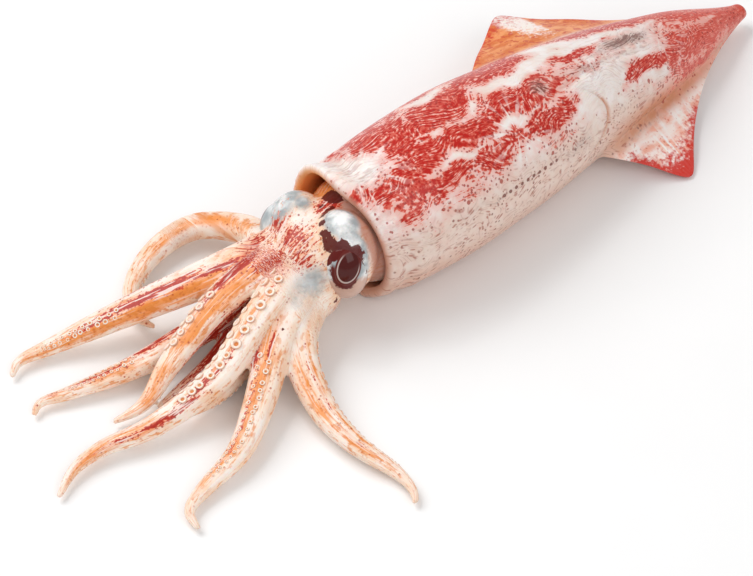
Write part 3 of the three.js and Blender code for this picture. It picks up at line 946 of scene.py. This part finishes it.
LIMB_SPOTS = {
    "red": {
        "upper_right": ((0.44, 76, 0.19, 22, 1.2), (0.22, 62, 0.16, 13, 0.8), (0.66, 60, 0.12, 14, 0.6),
                        (0.4, 140, 0.3, 14, 0.4), (0.58, 84, 0.14, 12, 0.8)),
        "lower_right": ((0.5, 122, 0.14, 22, 0.9), (0.74, 96, 0.2, 30, 0.6), (0.25, 0, 0.2, 40, 0.7)),
        "upper_middle": ((0.24, 122, 0.2, 24, 1.05), (0.5, 150, 0.12, 12, 0.5), (0.45, -10, 0.25, 24, 0.7)),
        "long_middle": ((0.3, 86, 0.14, 10, 0.55), (0.46, 84, 0.1, 20, 0.95), (0.6, 56, 0.1, 20, 0.95),
                        (0.74, 50, 0.1, 20, 0.6)),
        "under_middle": ((0.4, 60, 0.3, 50, 0.55),),
        "left": ((0.3, 140, 0.13, 18, 0.75), (0.3, 92, 0.08, 10, 0.5), (0.62, 120, 0.2, 14, 0.5),
                 (0.12, 128, 0.08, 30, 0.6)),
        "lower_left": ((0.45, 72, 0.22, 9, 0.42), (0.7, 100, 0.2, 14, 0.3), (0.35, 175, 0.1, 20, 0.3)),
        "left_tentacle": ((0.4, 60, 0.5, 150, 0.9),),
    },
    "maroon": {"left": ((0.235, 68, 0.009, 8, 0.75), (0.26, 78, 0.008, 7, 0.7))},
    "silver": {"left": ((0.12, 70, 0.1, 50, 0.55),)},
    "pale": {
        "upper_right": ((0.4, 126, 0.4, 18, 0.85),),
        "lower_right": ((0.5, 90, 0.3, 12, 0.6),),
        "upper_middle": ((0.24, 146, 0.25, 7, 1.0),),
        "long_middle": ((0.3, 56, 0.26, 16, 1.0), (0.55, 120, 0.4, 18, 0.8), (0.14, 90, 0.1, 30, 0.6),
                        (0.92, 110, 0.1, 60, 0.8)),
        "left": ((0.2, 70, 0.18, 40, 0.7), (0.7, 36, 0.34, 20, 0.8), (0.95, 90, 0.12, 200, 0.5)),
        "lower_left": ((0.6, 84, 0.4, 10, 0.7), (0.3, 150, 0.2, 24, 0.7), (0.15, 110, 0.16, 60, 0.8),
                       (0.95, 90, 0.12, 200, 0.5)),
        "right_tentacle": ((0.45, 30, 0.3, 30, 0.8),),
    },
    # Brown on the arms that lie under the others is painted shade.
    "brown": {"under_middle": ((0.3, 60, 0.5, 90, 0.5),), "tucked_left": ((0.4, 60, 0.6, 150, 0.6),)},
    "peach": {
        "upper_right": ((0.45, 44, 0.5, 38, 1.25),),
        "lower_right": ((0.7, 90, 0.3, 60, 0.7),),
        "upper_middle": ((0.35, 75, 0.4, 44, 1.2), (0.8, 60, 0.3, 60, 0.7)),
        "long_middle": ((0.3, 100, 0.26, 14, 0.8), (0.8, 60, 0.2, 60, 0.8), (0.72, 110, 0.12, 40, 0.7)),
        "left": ((0.6, 110, 0.35, 26, 0.9), (0.32, 96, 0.2, 40, 0.85)),
        "lower_left": ((0.6, 120, 0.4, 30, 0.7), (0.7, 60, 0.3, 10, 0.8), (0.3, 60, 0.2, 14, 0.6)),
        "right_tentacle": ((0.4, 60, 0.4, 50, 0.75),),
    },
}


# %% Levels of the spots
def spot_level(kind):
    """The highest bell of one kind over each point, from the head's and the limbs' lists."""
    level = np.zeros(len(head_points))
    for middle, half, strength in HEAD_SPOTS[kind]:
        away = (((head_points - middle) / half) ** 2).sum(1)
        level = np.maximum(level, strength * np.exp(-away))
    for name, spots in LIMB_SPOTS[kind].items():
        this_limb = (limb_index == limb_names.index(name)) * on_limb
        for share, angle, half_share, half_arc, strength in spots:
            turned = np.abs((limb_angle - angle + 180) % 360 - 180)
            spot_bell = strength * bell(limb_share, share, half_share) * bell(turned, 0, half_arc)
            level = np.maximum(level, spot_bell * this_limb)
    return level


on_limb = smooth(limb_share, 0.02, 0.12) * (1 - smooth(limb_distance, 1.3, 1.8))
levels = {kind: spot_level(kind) for kind in HEAD_SPOTS}
print("highest level of each colour:", {kind: round(float(here.max()), 2) for kind, here in levels.items()})


# %% [markdown]
# ## The skin of the head and limbs
# The flesh is cream with amber blotches and fine threads that run along each limb. The head
# and the limbs share one finish, so that no seam shows where a limb grows out.

# %% Masks and noises of the limbs
skin = Finish("limb_skin", **WET)
spot = skin.place()
lines = skin.note("limb")
red_level, pale_level, peach_level = skin.parts(skin.note("reds"))
maroon_level, silver_level, brown_shade_level = skin.parts(skin.note("darks"))
cloud = skin.noise(spot, 0.09, detail=2)
grain = skin.noise(spot, 0.6, detail=4)
fine = skin.drawn(lines, (0.5, 0.95, 1)).rise(0.34, 0.66)
streak = skin.drawn(lines, (0.09, 0.60, 1))
dots = skin.cells(spot, 0.7)
dot_chance = skin.chance(spot, 0.7)

# %% Cream and amber flesh, with painted highlight lines and brown painted shade
skin.body = skin.blend(cloud.rise(0.35, 0.65), "#FBEADC", "#F7D3B6")
peach = (peach_level * 1.15 + (streak - 0.5) * 1.8 + (cloud - 0.5) * 0.9).rise(0.3, 0.95)
skin.paint(peach * 0.95, "#EF954A")
thread = skin.drawn(lines, (0.06, 1.0, 1)).rise(0.53, 0.65)
skin.paint(thread * 0.75 * fine * (1 - pale_level * 0.6), "#DE7C34")
skin.paint((pale_level + (streak - 0.5) * 0.9).rise(0.3, 0.8) * 0.8, "#FCF1E9")
blot = skin.drawn(lines, (0.22, 0.45, 1))
blotches = (blot + peach_level * 0.06).rise(0.54, 0.64) * (1 - pale_level * 0.7)
skin.paint(blotches * 0.75, "#E28636")
# White lines along the limbs and the head: painted highlights.
highlight_thread = skin.drawn(lines, (0.05, 0.85, 1)).rise(0.55, 0.63)
skin.paint(highlight_thread * 0.4, "#FFF6EC")
rust_level = (cloud + grain - 1.0 + peach_level * 0.3).rise(-0.05, 0.4)
rust = dots.fall(0.22, 0.42) * (rust_level - dot_chance).rise(-0.03, 0.03) * (1 - pale_level * 0.6)
skin.paint(rust * 0.5, "#C8622A")
# Brown painted shade on the collar's gap and on the undersides.
skin.paint((brown_shade_level + (grain - 0.5) * 0.4).rise(0.2, 0.7) * 0.85, "#C28470")

# %% [markdown]
# Red works as on the mantle, a level against a need, and white lines of painted highlight run
# through it. Silver lies only where there is no red. Its white clouds are painted highlights
# and its grey-blue ones are painted shade on the silvery film over the eyes.

# %% Red, silver and stains
level = skin.math("MINIMUM", red_level * 1.15 + (cloud - 0.5) * 0.6, 0.86)
over = level - (streak.rise(0.3, 0.7) * 0.45 + fine * 0.5 + grain.rise(0.35, 0.65) * 0.1)
skin.paint(level.rise(0.05, 0.8) * 0.55, "#EBA083")
skin.paint(over.rise(-0.07, 0.08) * 0.95, skin.blend(over.rise(-0.05, 0.3), "#D95636", "#AE1607"))
speckle = dots.fall(0.2, 0.38) * (level.rise(0.0, 0.6) - dot_chance).rise(-0.02, 0.02)
skin.paint(speckle * 0.75, "#A32A20")
# White lines over the red: the same painted highlights, laid again.
highlight_streak = skin.drawn(lines, (0.07, 0.75, 1), detail=2).rise(0.55, 0.61)
skin.paint(highlight_streak * level.rise(0.0, 0.4) * 0.75, "#FAEAE0")
# The silver film: its white is painted highlight and its grey-blue is painted shade.
sheen = (silver_level + (grain - 0.5) * 0.3).rise(0.35, 0.8)
painted_highlight = (silver_level + (skin.noise(spot, 0.15) - 0.5) * 2.4).rise(0.6, 1.45)
skin.paint(sheen * 0.95 * over.fall(-0.1, 0.06), skin.blend(painted_highlight, "#9EA6A9", "#F8F8F7"))
stain = (maroon_level + (grain - 0.5) * 1.1).rise(0.5, 0.62)
skin.paint(stain * 0.97, "#5E1612")
height = streak * 0.4 + fine * 0.2 + grain * 0.3 + rust * 0.1
limb_skin = skin.set(Base_Color=skin.body, Roughness=0.3 + grain * 0.22 - sheen * 0.12,
                     Normal=skin.relief(height, 0.3, 0.6))

# %% [markdown]
# The threads need a flat map as well. On a limb it is the length along and the arc round it,
# and each limb has its own place on the map, so that no two look the same. On the head it is
# the length and the turn round a line through its middle. The two maps fade into each other.

# %% Make the head and limbs
LIMB_RADIUS, LIMB_SPACING = 5.5, 37.0
HEAD_START_X, HEAD_MIDDLE_Z, HEAD_RADIUS, HEAD_FINENESS = -80, 15, 18, 1.5

head = make_piece("head_and_limbs", head_points, head_faces.tolist(), limb_skin)
bpy.data.meshes.remove(melted_mesh)
limb_lines_at = np.stack([limb_run, np.radians(limb_angle) * LIMB_RADIUS, limb_index * LIMB_SPACING])
head_turn = np.arctan2(head_points[:, 1], head_points[:, 2] - HEAD_MIDDLE_Z)
head_lines_at = np.stack([HEAD_START_X - head_points[:, 0], head_turn * HEAD_RADIUS, 0 * head_turn])
limb_part = smooth(-head_points[:, 0], 92, 104)
head_lines_at = HEAD_FINENESS * head_lines_at * (1 - limb_part)
note(head, "limb", list(limb_lines_at * limb_part + head_lines_at))
note(head, "reds", [levels["red"], levels["pale"], levels["peach"]])
note(head, "darks", [levels["maroon"], levels["silver"], levels["brown"]])
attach(head, "root")
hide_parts("squid")

# %% [markdown]
# ## Suckers
# Each arm carries two rows of cups that shrink towards its tip. A cup is a ring with a hollow
# middle on a short stalk. All cups are one joined mesh, each a profile turned round the
# outward direction at its place. Every second cup steps to the other side of the middle line.

# %% Sizes and rows of the suckers
CUP_SIDES = 12
CUP_PROFILE = np.array([(0.0, -0.10), (0.36, -0.08), (0.52, 0.14), (0.70, 0.28), (0.90, 0.24),
                        (1.0, 0.02), (0.9, -0.35)])
SUCKER_ROWS = {
    "upper_right": (0.58, 0.86, 66, 12, 0.2, 3.4),
    "lower_right": (0.6, 0.86, 100, 16, 0.18, 3.6),
    "upper_middle": (0.34, 0.64, 128, 15, 0.34, 2.8),
    "long_middle": (0.09, 0.56, 112, 22, 0.31, 3.0),
    "left": (0.34, 0.80, 104, 16, 0.17, 3.6),
    "lower_left": (0.25, 0.86, -16, 18, 0.2, 3.2),
    "right_tentacle": (0.70, 0.92, -30, 28, 0.26, 2.8),
    "under_middle": (0.30, 0.85, -40, 22, 0.24, 2.8),
}


def sucker_places():
    """Foot, outward direction, direction along and radius of every cup."""
    rows = []
    for name, (start, end, facing, spread_angle, size, pitch) in SUCKER_ROWS.items():
        width = LIMBS[name][0]
        centre, forward, across, up, length = limb_lines[name]
        t, side = start, 1
        while t < end:
            half = float(half_width(width, np.array([t]))[0])
            radius = size * half * random.uniform(0.8, 1.12)
            step = min(int(t * (LIMB_RINGS - 1)), LIMB_RINGS - 1)
            angle = math.radians(facing + side * spread_angle + random.uniform(-4, 4))
            out = across[step] * math.cos(angle) + up[step] * math.sin(angle)
            lifted = LIMB_FLATNESS * up[step] * math.sin(angle)
            foot = centre[step] + half * (across[step] * math.cos(angle) + lifted)
            if foot[2] > radius * 0.8:
                rows.append((foot, out, forward[step], radius))
            t += 0.5 * pitch * radius * random.uniform(0.85, 1.15) / length
            side = -side
    return [np.array(column) for column in zip(*rows)]


def sucker_mesh():
    """Turn the cup's profile round each outward direction, all cups at once."""
    foot, out, forward, radius = sucker_places()
    side = unit(np.cross(out, forward))
    ahead = np.cross(side, out)
    turn = np.linspace(0, 2 * math.pi, CUP_SIDES, endpoint=False)
    wheel = np.cos(turn)[:, None] * ahead[:, None] + np.sin(turn)[:, None] * side[:, None]
    reach, rise = CUP_PROFILE.T[:, 1:, None, None]
    from_foot = radius[:, None, None, None] * (reach * wheel[:, None] + rise * out[:, None, None])
    rings = (foot[:, None, None] + from_foot).reshape(len(foot), -1, 3)
    middles = foot + (radius * CUP_PROFILE[0, 1])[:, None] * out
    stalks = foot - 0.5 * radius[:, None] * out
    points = np.concatenate([rings, middles[:, None], stalks[:, None]], 1)
    one_cup = closed_skin(from_foot[0])[1]
    starts = range(0, points.shape[0] * points.shape[1], points.shape[1])
    faces = [[corner + start for corner in face] for start in starts for face in one_cup]
    ring_levels = np.repeat(np.linspace(0, 1, len(CUP_PROFILE))[1:], CUP_SIDES)
    return points.reshape(-1, 3), faces, np.tile([*ring_levels, 0, 1], len(foot))


cup_points, cup_faces, cup_levels = sucker_mesh()

# %% [markdown]
# A cup is amber in its hollow, cream on its ring and rust round its foot. The level that each
# point stores says how far out on the profile it is.

# %% Finish of the suckers
skin = Finish("sucker_skin", **WET)
cup_level = skin.parts(skin.note("cup"))[0]
grain = skin.noise(skin.place(), 0.7, detail=2)
skin.body = skin.blend(cup_level.rise(0.12, 0.4), "#D8803F", "#FDF0E4")
skin.paint(cup_level.rise(0.62, 0.85) * 0.7, "#CF8050")
skin.paint(grain.rise(0.42, 0.62) * 0.4, "#F1BC92")
sucker_skin = skin.set(Base_Color=skin.body, Roughness=0.28 + grain * 0.15,
                       Normal=skin.relief(grain, 0.1, 0.5))

suckers = make_piece("suckers", cup_points, cup_faces, sucker_skin)
note(suckers, "cup", [cup_levels])
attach(suckers, "root")
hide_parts("squid")

# %% [markdown]
# ## Eyes
# The eye is a large, wet, silvery ball: grey-blue, with a painted highlight in white away from
# the pupil. Its pupil is maroon, taller than wide, and has a thin pale ring round its lower
# part. The skin under it is beige. A maroon stain runs over the top of the left eye only, so
# each eye stores its share of it. The other colours depend on the place round the middle of
# the pupil, so the distances across it and up it are stored too.

# %% Finish of the eyes
skin = Finish("eye_wet", Coat_Weight=0.35, Coat_Roughness=0.05, Specular_IOR_Level=0.1)
spot = skin.place()
across, up, away = skin.parts(skin.note("gaze"))
stained_share = skin.parts(skin.note("stained"))[0]
grain = skin.noise(spot, 0.35, detail=4)
# The ball is grey-blue, with a painted highlight in white away from the pupil.
painted_highlight = (away + (skin.noise(spot, 0.13) - 0.5) * 2.0).rise(1.5, 2.3)
skin.body = skin.blend(painted_highlight, "#A2AAAD", "#F2F3F2")
skin.paint((across * 0.3 - up + (grain - 0.5) * 5.0).rise(4.0, 7.5) * 0.85, "#CDA08A")
arch = up - across * 0.2 + across * across * 0.1
skin.paint((arch + (grain - 0.5) * 14.0).rise(3.6, 4.4) * stained_share, "#5E1612")
below = (-1.0 * up - across * 0.3).rise(1.5, 3.5)
skin.paint(away.rise(1.32, 1.4) * (away + (grain - 0.5)).fall(1.6, 1.8) * below, "#5E1612")
skin.paint(away.fall(1.34, 1.42), "#64221E")
skin.paint(away.fall(1.16, 1.22) * (up + across * 0.4).fall(0.5, 4.5), "#C4B1AA")
skin.paint(away.fall(1.04, 1.1), "#4E1512")
eye_skin = skin.set(Base_Color=skin.body, Roughness=0.12 + grain * 0.12)

# %% Make the eyes
PUPIL_HALF_WIDTH, PUPIL_HALF_HEIGHT, PUPIL_LEAN = 3.6, 5.6, 0.35
BEHIND_BALL = 9

for name, (centre, half, gaze, stained) in EYES.items():
    eye_points, eye_faces = closed_skin(ball(centre, half, rows=64, sides=72))
    eye = make_piece(name + "_ball", eye_points, eye_faces, eye_skin)
    gaze = unit(np.array(gaze))
    pupil = np.array(centre) + np.array(half) * gaze
    outward = unit(gaze / np.array(half))
    level_way = unit(np.cross((0.0, 0.0, 1.0), outward))
    lean = unit(np.cross(outward, level_way) + PUPIL_LEAN * level_way)
    offset = eye_points - pupil
    behind = (eye_points - np.array(centre)) @ outward <= 0
    up = offset @ lean
    across = offset @ unit(np.cross(lean, outward))
    away = np.hypot(across / PUPIL_HALF_WIDTH, up / PUPIL_HALF_HEIGHT) + BEHIND_BALL * behind
    note(eye, "gaze", [across, up, away])
    note(eye, "stained", [stained])
    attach(eye, "root")
    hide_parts(name)

# %% [markdown]
# ## Floor, light and camera
# The squid lies on a plain pale floor. A broad soft light stands behind its right side, so the
# shadow falls towards the viewer. A second one fills the near side, a small one gives the wet
# skin its glints, and the sky gives the rest. The camera looks down at 45 degrees past the
# arms, and its long lens keeps the body's taper true.

# %% Stage
FLOOR_HALF = 4.0
KEY_PLACE, KEY_SIZE, KEY_POWER = (-0.35, 0.8, 1.1), 1.0, 11.0
FILL_PLACE, FILL_SIZE, FILL_POWER = (-0.3, -1.2, 1.1), 1.2, 8.5
GLINT_PLACE, GLINT_SIZE, GLINT_POWER = (0.1, 0.7, 1.2), 0.16, 0.9
LIGHT_TARGET = (-0.02, 0, 0.02)
SKY_STRENGTH = 0.5
CAMERA_PLACE, CAMERA_TARGET = (-0.5771, -0.5616, 0.7575), (-0.066, -0.023, 0.015)
CAMERA_LENS = 129.8

corner = FLOOR_HALF / MM
floor_points = np.array([(x, y, 0) for x, y in ((-corner, -corner), (corner, -corner),
                                                (corner, corner), (-corner, corner))])
floor_finish = Finish("pale_floor")
mottle = floor_finish.noise(floor_finish.place(), 0.02, detail=2)
floor_finish.set(Base_Color=floor_finish.blend(mottle, "#F6F6F6", "#F9F9F9"), Roughness=0.8)
floor = make_piece("floor", floor_points, [[0, 1, 2, 3]], floor_finish.material)


def soft_light(name, place, size, power):
    """A square area light at a place in metres, turned to face the light target."""
    data = bpy.data.lights.new(name, "AREA")
    data.size = size
    data.energy = power
    lamp = bpy.data.objects.new(name, data)
    lamp.location = place
    lamp.rotation_euler = (Vector(LIGHT_TARGET) - Vector(place)).to_track_quat("-Z", "Y").to_euler()
    scene.collection.objects.link(lamp)


soft_light("key", KEY_PLACE, KEY_SIZE, KEY_POWER)
soft_light("fill", FILL_PLACE, FILL_SIZE, FILL_POWER)
soft_light("glint", GLINT_PLACE, GLINT_SIZE, GLINT_POWER)
world = bpy.data.worlds.new("sky")
world.use_nodes = True
world.node_tree.nodes["Background"].inputs["Color"].default_value = (1, 1, 1, 1)
world.node_tree.nodes["Background"].inputs["Strength"].default_value = SKY_STRENGTH
scene.world = world
scene.view_settings.view_transform = "Standard"

camera_data = bpy.data.cameras.new("camera")
camera_data.lens = CAMERA_LENS
camera = bpy.data.objects.new("camera", camera_data)
camera.location = CAMERA_PLACE
camera.rotation_euler = (Vector(CAMERA_TARGET) - Vector(CAMERA_PLACE)).to_track_quat("-Z", "Y").to_euler()
scene.collection.objects.link(camera)
scene.camera = camera
